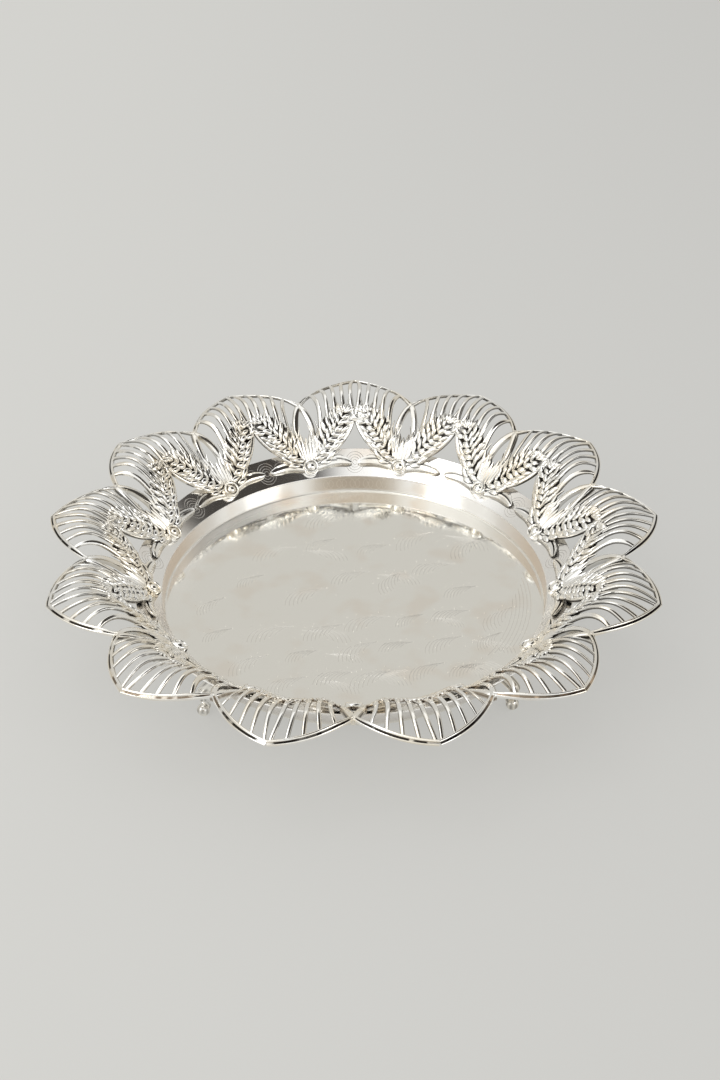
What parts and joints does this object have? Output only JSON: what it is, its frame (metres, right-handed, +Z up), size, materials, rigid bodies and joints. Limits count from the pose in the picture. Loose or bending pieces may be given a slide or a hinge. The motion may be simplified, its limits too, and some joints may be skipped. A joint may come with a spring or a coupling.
{
  "type": "round tray",
  "caption": "Round silver-coloured footed tray: a flat low-walled dish with a sloping flange and a flower-like rim of riveted openwork petals, for serving or display.",
  "frame": {"origin": "centre of the upper face of the dish's floor", "axes": "+Z up; -Y towards the front, where a petal's notch lies on the axis; +X to the right"},
  "size_m": [0.3488, 0.3463, 0.0612],
  "materials": {
    "dish": "satin, lightly engraved",
    "petals": "polished",
    "rivets": "polished",
    "feet": "polished"
  },
  "bodies": {
    "root": {"dish": "dish", "petal_1": "petals", "petal_2": "petals", "petal_3": "petals", "petal_4": "petals", "petal_5": "petals", "petal_6": "petals", "petal_7": "petals", "petal_8": "petals", "petal_9": "petals", "petal_10": "petals", "petal_11": "petals", "petal_12": "petals", "petal_13": "petals", "petal_rivet_1": "rivets", "petal_rivet_2": "rivets", "petal_rivet_3": "rivets", "petal_rivet_4": "rivets", "petal_rivet_5": "rivets", "petal_rivet_6": "rivets", "petal_rivet_7": "rivets", "petal_rivet_8": "rivets", "petal_rivet_9": "rivets", "petal_rivet_10": "rivets", "petal_rivet_11": "rivets", "petal_rivet_12": "rivets", "petal_rivet_13": "rivets", "foot_1": "feet", "foot_2": "feet", "foot_3": "feet", "foot_4": "feet"}
  },
  "joints": []
}
